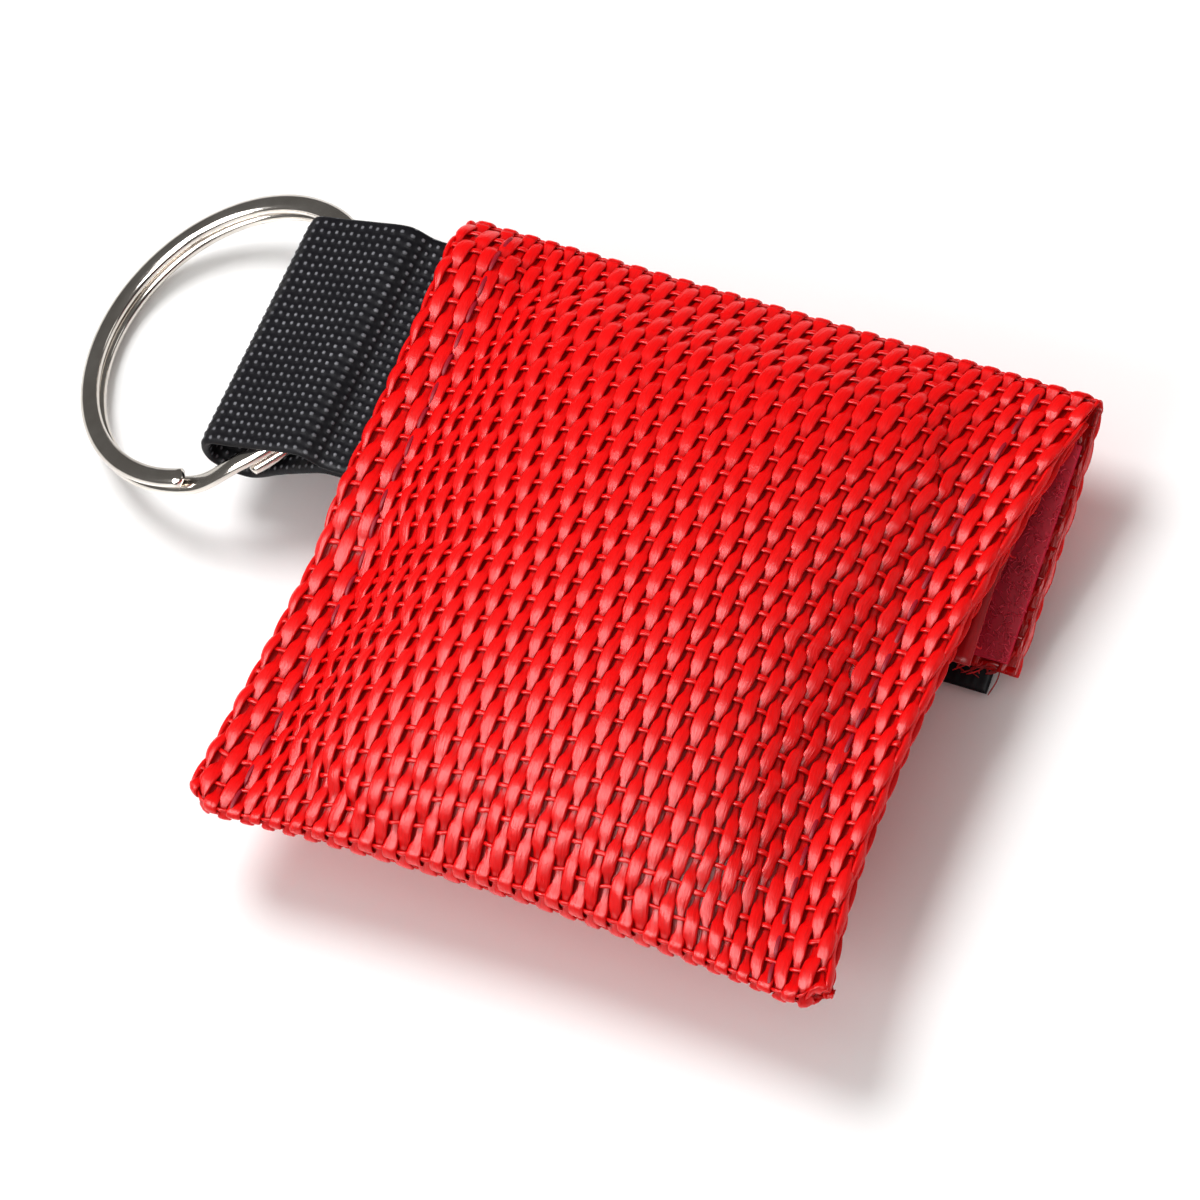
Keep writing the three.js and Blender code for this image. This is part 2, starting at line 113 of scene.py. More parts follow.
# ---------------------------------------------------------------------------
# The strip of coarse red nylon. One piece of cloth makes the flap, the front and the back of the
# pouch: it comes up from the flap's raw edge, round the top fold, down the front, round the bottom
# fold and up the back to the mouth. The side edges are turned and sewn. Millimetres, +Y to the top.
half_side = 30.0
side_pull = 1.0  # how far the side edges bow in, halfway up
bottom_pull = 1.2  # how far the bottom fold bows up
front_top = 27.7
mouth = 27.3  # the upper edge of the back
seam_mid = 9.6  # the height of the side seams
seam_share = 25.0 / 30.0  # where the seams run, as a share of the half width
hinge_y = 29.0
hinge_z = 9.02
flap_angle = math.radians(16.5)
flap_length = 23.6
fold_out = 1.0
edge_round = 0.9
free_side_pull = 1.1
free_corner_drop = 0.9
grid_count = 61
rounded_columns = 4
middle = grid_count // 2 + rounded_columns
front_growth, front_pressure = 0.035, 6.0
back_growth, back_pressure = 0.02, 4.0


def grid_quads(index):
    """Quads between the neighbours of a grid of vertex numbers."""
    corners = [index[:-1, :-1], index[:-1, 1:], index[1:, 1:], index[1:, :-1]]
    return np.stack(corners, axis=2).reshape(-1, 4)


def cad_surface(node, from_above):
    """Height of a CAD panel's outer face at x, y, read with a ray."""
    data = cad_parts[node].data
    tree = BVHTree.FromPolygons([v.co for v in data.vertices], [p.vertices for p in data.polygons])
    way = -1 if from_above else 1

    def height(x, y):
        hit = tree.ray_cast(Vector((x / 1000, y / 1000, -way * 0.1)), Vector((0, 0, way)))[0]
        return hit.z * 1000 if hit is not None else seam_mid

    return np.vectorize(height)


def panel_grid(node, from_above, top):
    """A grid of points over a panel's outer face, inside its rounded edges.

    The free side is drawn in between its corners, and its lower corner stands out and down."""
    u, v = np.meshgrid(np.linspace(-1, 1, grid_count), np.linspace(-1, 1, grid_count))
    x = u * (half_side - side_pull * (1 - v * v) - edge_round)
    low = -half_side + bottom_pull * (1 - u * u) + edge_round
    y = low + (top - low) * (v + 1) / 2
    z = cad_surface(node, from_above)(x * 0.995, np.minimum(y, top - 0.02))
    free = np.clip(u, 0, 1) ** 1.5
    corner = np.clip((-v - 0.45) / 0.55, 0, 1) ** 2
    x = x + free * (free_side_pull * corner - free_side_pull * (1 - v * v))
    y = y - free * free_corner_drop * corner
    corner_round = np.clip((np.abs(u) - 0.91) / 0.09, 0, 1) ** 2 * ((1 - v) / 2) ** 6
    y = y + 1.3 * corner_round
    return u, v, np.stack([x, y, z], axis=2)


def inflate(points, held, outward, growth, pressure, most_in, most_out):
    """The filled pouch pushes a panel outwards between its seams: a cloth simulation, ten times up.

    growth is the cloth's ease, and most_in and most_out limit how far it may move from its place."""
    rows, columns = points.shape[:2]
    index = np.arange(rows * columns).reshape(rows, columns)
    quads = grid_quads(index)
    if outward < 0:
        quads = quads[:, ::-1]
    mesh = bpy.data.meshes.new("panel_trial")
    mesh.from_pydata((points.reshape(-1, 3) / 100).tolist(), [], quads.tolist())
    trial = bpy.data.objects.new("panel_trial", mesh)
    bpy.context.scene.collection.objects.link(trial)
    group = trial.vertex_groups.new(name="sewn")
    group.add([int(i) for i in index[held]], 1.0, "REPLACE")
    cloth = trial.modifiers.new("filling", "CLOTH")
    settings = cloth.settings
    settings.quality = 6
    settings.mass = 0.25
    settings.tension_stiffness = 25
    settings.compression_stiffness = 25
    settings.shear_stiffness = 6
    settings.bending_stiffness = 1.2
    settings.tension_damping = 12
    settings.compression_damping = 12
    settings.air_damping = 2
    settings.vertex_group_mass = "sewn"
    settings.shrink_min = -growth
    settings.use_pressure = True
    settings.uniform_pressure_force = pressure
    settings.effector_weights.gravity = 0
    cloth.collision_settings.use_self_collision = False
    cloth.collision_settings.use_collision = False
    for step in range(1, 26):
        bpy.context.scene.frame_set(step)
    settled = trial.evaluated_get(bpy.context.evaluated_depsgraph_get()).to_mesh()
    moved = np.zeros(rows * columns * 3, np.float32)
    settled.vertices.foreach_get("co", moved)
    bpy.data.objects.remove(trial)
    bpy.context.scene.frame_set(1)
    moved = moved.reshape(points.shape).astype(float) * 100
    shift = moved - points
    shift[:, :, 2] = np.clip(shift[:, :, 2] * outward, -most_in, most_out) * outward
    shift[:, :, :2] = np.clip(shift[:, :, :2], -0.5, 0.5)
    return points + shift


def surface(points, across, along):
    """A smooth sheet through a grid of points. It gives the place and normal at any (across, along)."""
    normals = np.cross(np.gradient(points, across, axis=1), np.gradient(points, along, axis=0))
    normals /= np.linalg.norm(normals, axis=2, keepdims=True)
    rows, columns = points.shape[:2]

    def weights(t):
        return [
            (-t + 2 * t**2 - t**3) / 2,
            (2 - 5 * t**2 + 3 * t**3) / 2,
            (t + 4 * t**2 - 3 * t**3) / 2,
            (-(t**2) + t**3) / 2,
        ]

    def at(a, b):
        i = np.interp(a, across, np.arange(columns))
        j = np.interp(b, along, np.arange(rows))
        i0, j0 = np.floor(i).astype(int), np.floor(j).astype(int)
        wi, wj = weights(i - i0), weights(j - j0)
        place, normal = 0.0, 0.0
        for dj in range(4):
            for di in range(4):
                w = (wi[di] * wj[dj])[..., None]
                jj = np.clip(j0 + dj - 1, 0, rows - 1)
                ii = np.clip(i0 + di - 1, 0, columns - 1)
                place = place + w * points[jj, ii]
                normal = normal + w * normals[jj, ii]
        return place, normal / np.linalg.norm(normal, axis=-1, keepdims=True)

    return at


def with_rounded_sides(points, normals, drop, reach):
    """Adds four columns a side that roll over the edge.

    drop says how far down each side goes, and reach how far out."""
    out = []
    for side, edge in ((-1, 0), (1, -1)):
        extra = []
        for angle in (67.5, 45, 22.5, 0):
            across = np.zeros_like(points[:, edge])
            across[:, 0] = side
            lean = math.radians(angle)
            extra.append(
                points[:, edge]
                + across * (reach * math.cos(lean))[:, None]
                - normals * (drop[:, edge] * (1 - math.sin(lean)))[:, None]
            )
        out.append(np.stack(extra, axis=1))
    return np.concatenate([out[0][:, ::-1], points, out[1]], axis=1)


def lengths(line):
    return np.concatenate([[0], np.cumsum(np.linalg.norm(np.diff(line, axis=0), axis=1))])


def bottom_rows(points, angles, reach):
    """Rows that roll round the bottom fold, up to the panel's first row, with rounded corners."""
    rows = []
    for angle in angles:
        lean = math.radians(angle)
        row = points[0].copy()
        row[:, 1] -= reach * math.cos(lean)
        height = points[0, :, 2] - seam_mid
        row[:, 2] = seam_mid + (height if lean > 0 else np.maximum(height, 0.6)) * math.sin(lean)
        corner = np.clip((np.abs(points[0, :, 0]) - 28.6) / 1.4, 0, 1) ** 2
        row[:, 0] *= 1 - 0.02 * corner * math.cos(lean)
        row[:, 1] += 0.5 * corner * math.cos(lean)
        rows.append(row)
    return np.concatenate([np.stack(rows), points], axis=0)


def sewn_edges(u, v):
    """The part of a panel that its hems and folds hold."""
    return (np.abs(u) >= seam_share - 0.03) | (v < -0.97) | (v > 0.985)


# The front: its hems and both folds are held, and the filling bellies out the rest. Its last rows
# slope straight on to the top fold, and the webbing under one corner keeps that corner up.
u, v, front = panel_grid("front_panel", True, front_top)
front = inflate(front, sewn_edges(u, v), 1, front_growth, front_pressure, 1.2, 0.5)
for _ in range(3):
    front[:, 1:-1, 2] = (front[:, :-2, 2] + 2 * front[:, 1:-1, 2] + front[:, 2:, 2]) / 4
    front[1:-1, :, 2] = (front[:-2, :, 2] + 2 * front[1:-1, :, 2] + front[2:, :, 2]) / 4
slope_row = 55  # the first row of the slope to the top fold
fold_start = math.radians(35)
hem_thickness = 1.35
slope_end = hinge_z + fold_out * math.cos(fold_start)
slope_stop = hinge_y + fold_out * math.sin(fold_start) - 0.3
over_webbing = 1 + 2.2 * np.clip((-front[-1, :, 0] - 22) / 3, 0, 1)
for row in range(slope_row, len(front)):
    share = (front[row, :, 1] - front[slope_row - 1, :, 1]) / (slope_stop - front[slope_row - 1, :, 1])
    share = share**over_webbing
    front[row, :, 2] = front[slope_row - 1, :, 2] * (1 - share) + slope_end * share
rise = np.repeat([[0.0, 0.0, 1.0]], len(front), axis=0)
hem_drop = np.minimum(front[:, [0, -1], 2] - seam_mid, hem_thickness)
near_fold = np.clip((np.arange(len(front)) - 52) / 8, 0, 1)[:, None]
hem_drop = hem_drop * (1 - 0.6 * near_fold)
front = with_rounded_sides(front, rise, hem_drop, np.full(len(front), edge_round))
front = bottom_rows(front, (-45, -22.5, 0, 22.5, 45, 67.5), edge_round)

# The top fold and the flap: round the hinge line, then straight down to the raw edge.
fold_turn = math.pi - flap_angle
fold_steps = np.linspace(fold_start, fold_turn, 10)
flap_rows = 20
top_half, top_flare, flap_hem = 29.3, 1.1, 0.42
top_part = np.zeros((len(fold_steps) + flap_rows, grid_count, 3))
fold_normals = np.zeros((len(top_part), 3))
for n, angle in enumerate(fold_steps):
    top_part[n, :, 1] = hinge_y + fold_out * math.sin(angle)
    top_part[n, :, 2] = hinge_z + fold_out * math.cos(angle)
    fold_normals[n, 1:] = math.sin(angle), math.cos(angle)
fold_last = len(fold_steps) - 1
for n, s in enumerate(np.linspace(0, flap_length, flap_rows + 1)[1:], len(fold_steps)):
    top_part[n, :, 1] = top_part[fold_last, :, 1] - math.cos(flap_angle) * s
    top_part[n, :, 2] = top_part[fold_last, :, 2] - math.sin(flap_angle) * s
    fold_normals[n] = fold_normals[fold_last]
flare = np.clip(np.arange(len(top_part)) / 16, 0, 1)[:, None]
across_share = np.linspace(-1, 1, grid_count)[None]
top_part[:, :, 0] = across_share * top_half + np.clip(across_share, 0, 1) ** 2 * top_flare * flare
fade = np.clip(np.arange(len(top_part)) / 6, 0, 1)
roll = np.full((len(top_part), 2), flap_hem)
top_part = with_rounded_sides(top_part, fold_normals, roll, edge_round * (1 - fade) + 0.5 * fade)
strip = np.concatenate([front, top_part], axis=0)
strip_across = lengths(strip[middle])
strip_across -= strip_across[-1] / 2
strip_along = lengths(strip[:, middle])
strip_at = surface(strip, strip_across, strip_along)
front_end = strip_along[len(front)]
flap_end = strip_along[-1]

# The back: the floor holds it flat below, and the closed flap holds it in above.
u, v, back = panel_grid("back_panel", False, mouth)
back = inflate(back, sewn_edges(u, v), -1, back_growth, back_pressure, 0.6, 0.15)
back[:, :, 2] = np.maximum(back[:, :, 2], 0.02)
back_drop = seam_mid - back[:, [0, -1], 2]
back = with_rounded_sides(back, -rise, back_drop, np.full(len(back), edge_round))
back = bottom_rows(back, (0, 22.5, 45, 67.5), 0.5)
back_across = lengths(back[middle])
back_across -= back_across[-1] / 2
back_along = lengths(back[:, middle])
flipped = surface(back, back_across, back_along)


def back_at(a, b):
    place, normal = flipped(a, b)
    return place, -normal


# The weave: wide flat warps of many glossy filaments run along Y, and thin wefts cross them.
warp_pitch = 1.07
weft_pitch = 2.70
warp_rise = 0.22
weft_rise = 0.15
yarn_sunk = 0.36
full_lift = 0.35


def make_piece(name, points, faces, coordinates, values=None):
    """A mesh object from arrays in millimetres, with its own UV map and float attributes."""
    mesh = bpy.data.meshes.new(name)
    size = faces.shape[1]
    mesh.vertices.add(len(points))
    mesh.vertices.foreach_set("co", (np.asarray(points) / 1000).astype(np.float32).ravel())
    mesh.loops.add(faces.size)
    mesh.loops.foreach_set("vertex_index", faces.astype(np.int32).ravel())
    mesh.polygons.add(len(faces))
    mesh.polygons.foreach_set("loop_start", np.arange(0, faces.size, size, dtype=np.int32))
    mesh.update(calc_edges=True)
    mesh.validate()
    layer = mesh.uv_layers.new(name="thread_map")
    used = np.zeros(len(mesh.loops), np.int32)
    mesh.loops.foreach_get("vertex_index", used)
    layer.data.foreach_set("uv", coordinates[used].astype(np.float32).ravel())
    for key, value in (values or {}).items():
        attribute = mesh.attributes.new(key, "FLOAT", "POINT")
        attribute.data.foreach_set("value", value.astype(np.float32))
    mesh.shade_smooth()
    piece = bpy.data.objects.new(name, mesh)
    bpy.context.scene.collection.objects.link(piece)
    return piece


def tube_wall(index):
    """Quads of the walls of tubes, from their vertex numbers by tube, ring and side."""
    turned = np.roll(index, -1, axis=2)
    corners = [index[:, :-1], turned[:, :-1], turned[:, 1:], index[:, 1:]]
    return np.stack(corners, axis=3).reshape(-1, 4)


def tube_faces(tubes, rings, sides):
    """Quads of closed tubes, their ends closed by quads across the section."""
    index = np.arange(tubes * rings * sides).reshape(tubes, rings, sides)
    caps = []
    for k in range(sides // 2 - 1):
        opposite = sides - 1 - k
        caps.append(index[:, 0][:, [k + 1, k, opposite, opposite - 1]])
        caps.append(index[:, -1][:, [k, k + 1, opposite - 1, opposite]])
    return np.concatenate([tube_wall(index), *caps])


def section(sides, power):
    """The rounded flat outline of a thread's section, from a low power, or a round one from 1."""
    angle = (np.arange(sides) + 0.5) * 2 * math.pi / sides
    c, s = np.cos(angle), np.sin(angle)
    return np.sign(c) * np.abs(c) ** power, np.sign(s) * np.abs(s) ** power


def warps(at, low, high, across, step, sides, seed):
    """Every warp between two places along the cloth, as arrays of points, faces, map and lift.

    A float is widest past its middle and blunt at its upper end. The hems' warps lie fuller, and the
    outermost one flatter."""
    count = round(2 * across / warp_pitch)
    pitch = 2 * across / count
    random = np.random.default_rng(seed)
    k = np.arange(count)[:, None, None]
    centre = (k - (count - 1) / 2) * pitch + random.normal(0, 0.02, (count, 1, 1))
    rings = int((high - low) / step) + 1
    b = np.linspace(low, high, rings)[None, :, None]
    wander = 0.05 * np.sin(b / 7.0 + random.uniform(0, 6.3, (count, 1, 1)))
    phase = math.pi * (b / weft_pitch + k) + wander
    over = np.cos(phase)
    peak = np.cos(phase + 0.2)
    hem = np.clip((np.abs(centre) - 26.5) / 2.5, 0, 1)
    inner = np.clip((across - np.abs(centre)) / pitch - 1, 0, 1)
    rim = np.clip((np.abs(centre) - across + 1.3) / 0.6, 0, 1)
    lift = warp_rise * np.sign(peak) * np.abs(peak) ** 0.7 * (1 + 0.3 * hem - 0.8 * rim)
    fat = random.normal(1, 0.05, (count, 1, 1))
    blunt = np.tanh(3.0 * (over + 0.22 - 0.3 * np.sin(phase)))
    wide = fat * pitch / 2 * (0.86 + 0.27 * blunt * (1 - 0.5 * rim) + 0.06 * hem)
    thick = 0.15 + 0.035 * over + 0.08 * rim
    sx, sz = section(sides, 0.65)
    a = centre + (0.04 + 0.18 * hem * inner) * np.sin(phase) + wide * sx
    h = lift + thick * sz
    a, bb, h = np.broadcast_arrays(a, b, h)
    place, normal = at(np.clip(a, 0.25 - across, across - 0.25), bb)
    points = place + normal * (h - yarn_sunk)[..., None]
    fibre = np.stack([a + 7.3 * k, bb + 0 * a], axis=-1)
    faces = tube_faces(count, rings, sides)
    return points.reshape(-1, 3), faces, fibre.reshape(-1, 2), (h / full_lift).ravel()


def wefts(at, low, high, across, step, sides, seed):
    """Every weft between two places along the cloth, in the same arrays."""
    warp_count = round(2 * across / warp_pitch)
    pitch = 2 * across / warp_count
    first = math.ceil(low / weft_pitch + 0.1)
    last = math.floor(high / weft_pitch - 0.1)
    random = np.random.default_rng(seed)
    j = np.arange(first, last + 1)[:, None, None]
    count = len(j)
    rings = int(2 * across / step) + 1
    a = np.linspace(0.3 - across, across - 0.3, rings)[None, :, None]
    phase = math.pi * (a / pitch + (warp_count - 1) / 2 + j)
    over = -np.cos(phase)
    sx, sz = section(sides, 0.8)
    wide = 0.21 * random.normal(1, 0.08, (count, 1, 1)) * (1 + 0.1 * over)
    centre = j * weft_pitch + 0.06 * np.sin(a / 3.1 + j) - 0.05 * np.sin(phase)
    b = centre + wide * sx
    fade = np.clip((across - np.abs(a)) / 1.6, 0, 1)
    h = weft_rise * over * fade - 0.22 * (1 - fade) + 0.13 * sz
    aa, b, h = np.broadcast_arrays(a, b, h)
    place, normal = at(aa, b)
    points = place + normal * (h - yarn_sunk)[..., None]
    fibre = np.stack([b + 3.1 * j, aa + 0 * b], axis=-1)
    faces = tube_faces(count, rings, sides)[:, ::-1]
    # Their lift, which sets the painted shade, is raised a little, so they come out a touch lighter.
    return points.reshape(-1, 3), faces, fibre.reshape(-1, 2), (h / full_lift + 0.15).ravel()


def closed_slab(index):
    """Faces of a closed slab, whose under side repeats a grid of vertices after its upper side."""
    quads = grid_quads(index)
    rim = np.concatenate([index[0, :-1], index[:-1, -1], index[-1, :0:-1], index[:0:-1, 0]])
    after = np.roll(rim, -1)
    walls = np.stack([rim, rim + index.size, after + index.size, after], axis=1)
    return np.concatenate([quads, quads[:, ::-1] + index.size, walls])


def shell(at, low, high, across, nx, ny, upper, lower, hem_fill=0.0):
    """A thin closed sheet of cloth under the yarns, from one depth to another, fuller at the hems. Its lift
    of -1 paints it in the painted shade colour.
    """
    a, b = np.meshgrid(np.linspace(-across, across, nx), np.linspace(low, high, ny))
    place, normal = at(a, b)
    hem_rise = hem_fill * np.clip((np.abs(a) - across + 2.2) / 1.4, 0, 1)[..., None]
    top = (place - normal * (upper - hem_rise)).reshape(-1, 3)
    under = (place - normal * lower).reshape(-1, 3)
    faces = closed_slab(np.arange(nx * ny).reshape(ny, nx))
    flat = np.stack([a, b], axis=2).reshape(-1, 2)
    return np.concatenate([top, under]), faces, np.concatenate([flat, flat]), np.full(2 * nx * ny, -1.0)


def joined(*parts):
    """Several arrays of points, faces, map and lift as one."""
    base, faces = 0, []
    for part in parts:
        faces.append(part[1] + base)
        base += len(part[0])
    return (
        np.concatenate([p[0] for p in parts]),
        np.concatenate(faces),
        np.concatenate([p[2] for p in parts]),
        {"lift": np.concatenate([p[3] for p in parts])},
    )


# Bundles of parallel filaments, as colour and height from a map whose Y runs along the thread.
filaments = bpy.data.node_groups.new("filaments", "ShaderNodeTree")
filaments.interface.new_socket("Fineness", in_out="INPUT", socket_type="NodeSocketFloat")
filaments.interface.new_socket("Streak", in_out="OUTPUT", socket_type="NodeSocketFloat")
filaments.interface.new_socket("Patch", in_out="OUTPUT", socket_type="NodeSocketFloat")
group_in = filaments.nodes.new("NodeGroupInput")
group_out = filaments.nodes.new("NodeGroupOutput")
thread_map = filaments.nodes.new("ShaderNodeUVMap")
thread_map.uv_map = "thread_map"
split = filaments.nodes.new("ShaderNodeSeparateXYZ")
stretch = filaments.nodes.new("ShaderNodeMath")
stretch.operation = "MULTIPLY"
slow = filaments.nodes.new("ShaderNodeMath")
slow.operation = "MULTIPLY"
slow.inputs[1].default_value = 0.55
gather = filaments.nodes.new("ShaderNodeCombineXYZ")
streak = filaments.nodes.new("ShaderNodeTexNoise")
streak.inputs["Scale"].default_value = 1.0
streak.inputs["Detail"].default_value = 3.0
streak.inputs["Roughness"].default_value = 0.6
patch = filaments.nodes.new("ShaderNodeTexNoise")
patch.inputs["Scale"].default_value = 0.35
patch.inputs["Detail"].default_value = 2.0
filaments.links.new(thread_map.outputs["UV"], split.inputs["Vector"])
filaments.links.new(split.outputs["X"], stretch.inputs[0])
filaments.links.new(group_in.outputs["Fineness"], stretch.inputs[1])
filaments.links.new(split.outputs["Y"], slow.inputs[0])
filaments.links.new(stretch.outputs[0], gather.inputs["X"])
filaments.links.new(slow.outputs[0], gather.inputs["Y"])
filaments.links.new(gather.outputs[0], streak.inputs["Vector"])
filaments.links.new(thread_map.outputs["UV"], patch.inputs["Vector"])
filaments.links.new(streak.outputs["Fac"], group_out.inputs["Streak"])
filaments.links.new(patch.outputs["Fac"], group_out.inputs["Patch"])


def new_material(name):
    """A material with its node tree and its shader."""
    material = bpy.data.materials.new(name)
    material.use_nodes = True
    return material, material.node_tree, material.node_tree.nodes["Principled BSDF"]


def thread_streaks(tree, fineness):
    group = tree.nodes.new("ShaderNodeGroup")
    group.node_tree = filaments
    group.inputs["Fineness"].default_value = fineness
    return group


def colour_between(tree, low, high):
    """A colour that a mask on input 0 blends from low to high, on output 2."""
    blend = tree.nodes.new("ShaderNodeMix")
    blend.data_type = "RGBA"
    blend.inputs[6].default_value = (*low, 1)
    blend.inputs[7].default_value = (*high, 1)
    return blend


def value_between(tree, low, high):
    value = tree.nodes.new("ShaderNodeMapRange")
    value.inputs["To Min"].default_value = low
    value.inputs["To Max"].default_value = high
    return value


def fine_relief(tree, strength, distance):
    relief = tree.nodes.new("ShaderNodeBump")
    relief.inputs["Strength"].default_value = strength
    relief.inputs["Distance"].default_value = distance
    return relief


def feed_shader(tree, shader, colour, gloss, gloss_mask, relief, relief_mask):
    """A colour blend, a gloss with its mask and a relief with its mask, all to the shader."""
    tree.links.new(colour.outputs[2], shader.inputs["Base Color"])
    tree.links.new(gloss_mask, gloss.inputs["Value"])
    tree.links.new(gloss.outputs[0], shader.inputs["Roughness"])
    tree.links.new(relief_mask, relief.inputs["Height"])
    tree.links.new(relief.outputs[0], shader.inputs["Normal"])


def thread_material(name, shade_colour, face, fineness, roughness, bump):
    """A red-dyed filament finish with painted shade: darker where a thread dives and on the sheet under the
    threads, streaked along its length.
    """
    material, tree, shader = new_material(name)
    shader.inputs["Specular IOR Level"].default_value = 0.21
    group = thread_streaks(tree, fineness)
    lift = tree.nodes.new("ShaderNodeAttribute")
    lift.attribute_name = "lift"
    reach = tree.nodes.new("ShaderNodeMapRange")
    reach.inputs["From Min"].default_value = -0.75
    reach.inputs["From Max"].default_value = 0.55
    weigh = tree.nodes.new("ShaderNodeMath")
    weigh.operation = "MULTIPLY_ADD"
    weigh.inputs[1].default_value = 1.7
    weigh.inputs[2].default_value = -0.85
    total = tree.nodes.new("ShaderNodeMath")
    total.operation = "ADD"
    total.use_clamp = True
    # Painted shade: low lift, where a thread dives or the sheet under the threads shows, takes the first,
    # darker colour.
    colour = colour_between(tree, shade_colour, face)
    gloss = value_between(tree, roughness + 0.12, roughness - 0.08)
    relief = fine_relief(tree, bump, 0.00007)
    tree.links.new(lift.outputs["Fac"], reach.inputs["Value"])
    tree.links.new(group.outputs["Streak"], weigh.inputs[0])
    tree.links.new(reach.outputs[0], total.inputs[0])
    tree.links.new(weigh.outputs[0], total.inputs[1])
    tree.links.new(total.outputs[0], colour.inputs[0])
    feed_shader(tree, shader, colour, gloss, group.outputs["Patch"], relief, group.outputs["Streak"])
    return material


# The first colour is painted shade, for the dives of the threads and the sheet seen between them.
red_nylon = thread_material("red_nylon", (0.50, 0.0, 0.0003), (0.80, 0.0006, 0.001), 4.6, 0.29, 1.0)
across = strip_across[-1]
front_cloth = make_piece(
    "front_cloth",
    *joined(
        shell(strip_at, 0, front_end, across, 62, 62, 0.70, 0.92, 0.27),
        wefts(strip_at, 0, front_end, across, 0.172, 8, 3),
    ),
)
front_warps = make_piece("front_warps", *joined(warps(strip_at, 0, front_end, across, 0.37, 10, 5)))
back_width = back_across[-1]
back_end = back_along[-1]


def mirrored(part):
    """The same faces turned the other way, for the back, which looks down."""
    return part[0], part[1][:, ::-1], part[2], part[3]


back_cloth = make_piece(
    "back_cloth",
    *joined(
        mirrored(shell(back_at, 0, back_end, back_width, 62, 62, 0.70, 0.92, 0.27)),
        mirrored(wefts(back_at, 0, back_end, back_width, 0.21, 6, 13)),
    ),
)
back_warps = make_piece(
    "back_warps", *joined(mirrored(warps(back_at, 0, back_end, back_width, 0.42, 8, 15)))
)
for piece, node in ((front_cloth, "front_panel"), (back_cloth, "back_panel")):
    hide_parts(node)
for piece in (front_cloth, front_warps, back_cloth, back_warps):
    piece.data.materials.append(red_nylon)
    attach(piece, "pouch")

# ---------------------------------------------------------------------------
# The flap. The same strip of cloth goes on round the top fold and lies closed under the back.
# Its side edges are turned, and its lower edge is raw: warps come loose there as curled filaments.
flap_cloth = make_piece(
    "flap_cloth", *joined(shell(strip_at, front_end, flap_end, across, 62, 60, 0.32, 0.36))
)
flap_yarns = make_piece(
    "flap_yarns",
    *joined(
        warps(strip_at, front_end, flap_end, across, 0.36, 8, 5),
        wefts(strip_at, front_end, flap_end, across, 0.21, 6, 3),
    ),
)
flap_down = Vector((0, -math.cos(flap_angle), -math.sin(flap_angle)))
flap_out = Vector((0, math.sin(flap_angle), -math.cos(flap_angle)))


def flap_point(x, s, n):
    """A place on the flap: x across, s down it from its hinge line, n out of its outer face."""
    x, s, n = np.broadcast_arrays(x, s, n)
    y = hinge_y + flap_down.y * s + flap_out.y * n
    z = hinge_z + flap_down.z * s + flap_out.z * n
    return np.stack([x, y, z], axis=-1).astype(float)


def hair(paths, radius, sides, seed):
    """Round threads along many paths at once, from an array of threads, points and places."""
    random = np.random.default_rng(seed)
    tangent = np.gradient(paths, axis=1)
    tangent /= np.linalg.norm(tangent, axis=2, keepdims=True) + 1e-9
    aside = np.cross(tangent, random.normal(0, 1, (len(paths), 1, 3)))
    aside /= np.linalg.norm(aside, axis=2, keepdims=True) + 1e-9
    other = np.cross(tangent, aside)
    angle = np.arange(sides) * 2 * math.pi / sides
    ring = aside[:, :, None] * np.cos(angle)[:, None] + other[:, :, None] * np.sin(angle)[:, None]
    taper = np.ones(paths.shape[1])
    taper[-1] = 0.5
    points = paths[:, :, None] + ring * radius * taper[None, :, None, None]
    count, rings = paths.shape[:2]
    index = np.arange(count * rings * sides).reshape(count, rings, sides)
    ends = [index[:, 0, ::-1], index[:, -1]] if sides == 4 else []
    run = np.broadcast_to(lengths(paths[0])[None, :, None], index.shape)
    flat = np.stack([index % 97 * 0.13, run], axis=-1).reshape(-1, 2)
    lift = random.uniform(-0.6, 0.6, count).repeat(rings * sides)
    return points.reshape(-1, 3), np.concatenate([tube_wall(index), *ends]), flat, lift


def bell(spread, count):
    """A small random shift for each of many threads."""
    return random.normal(0, spread, count)[:, None]


random = np.random.default_rng(21)
loose = 520
start_x = random.uniform(-29.0, 29.0, loose)
steps = np.linspace(0, 1, 9)
reach = random.gamma(3.0, 0.26, loose)[:, None] * steps
curl = random.uniform(0.1, 0.7, loose)[:, None] * np.sin(random.uniform(2, 7, loose)[:, None] * steps + 0.2)
drift = bell(0.5, loose) * steps
paths = flap_point(
    start_x[:, None] + curl * 0.8 + drift,
    flap_length - 0.5 + reach,
    0.66 + bell(0.14, loose) + curl[:, ::-1] * 0.35 * steps,
)
paths[:, :, 2] = np.maximum(paths[:, :, 2], 0.1)
flap_fray = make_piece("flap_fray", *joined(hair(paths, 0.075, 4, 22)))
fray_nylon = thread_material("fray_nylon", (0.22, 0.0, 0.002), (0.74, 0.004, 0.01), 6.0, 0.5, 0.2)
for piece, finish in ((flap_cloth, red_nylon), (flap_yarns, red_nylon), (flap_fray, fray_nylon)):
    piece.data.materials.append(finish)
for piece in (flap_cloth, flap_yarns):
    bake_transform(piece)
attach(flap_fray, "flap")
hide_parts("flap_panel")

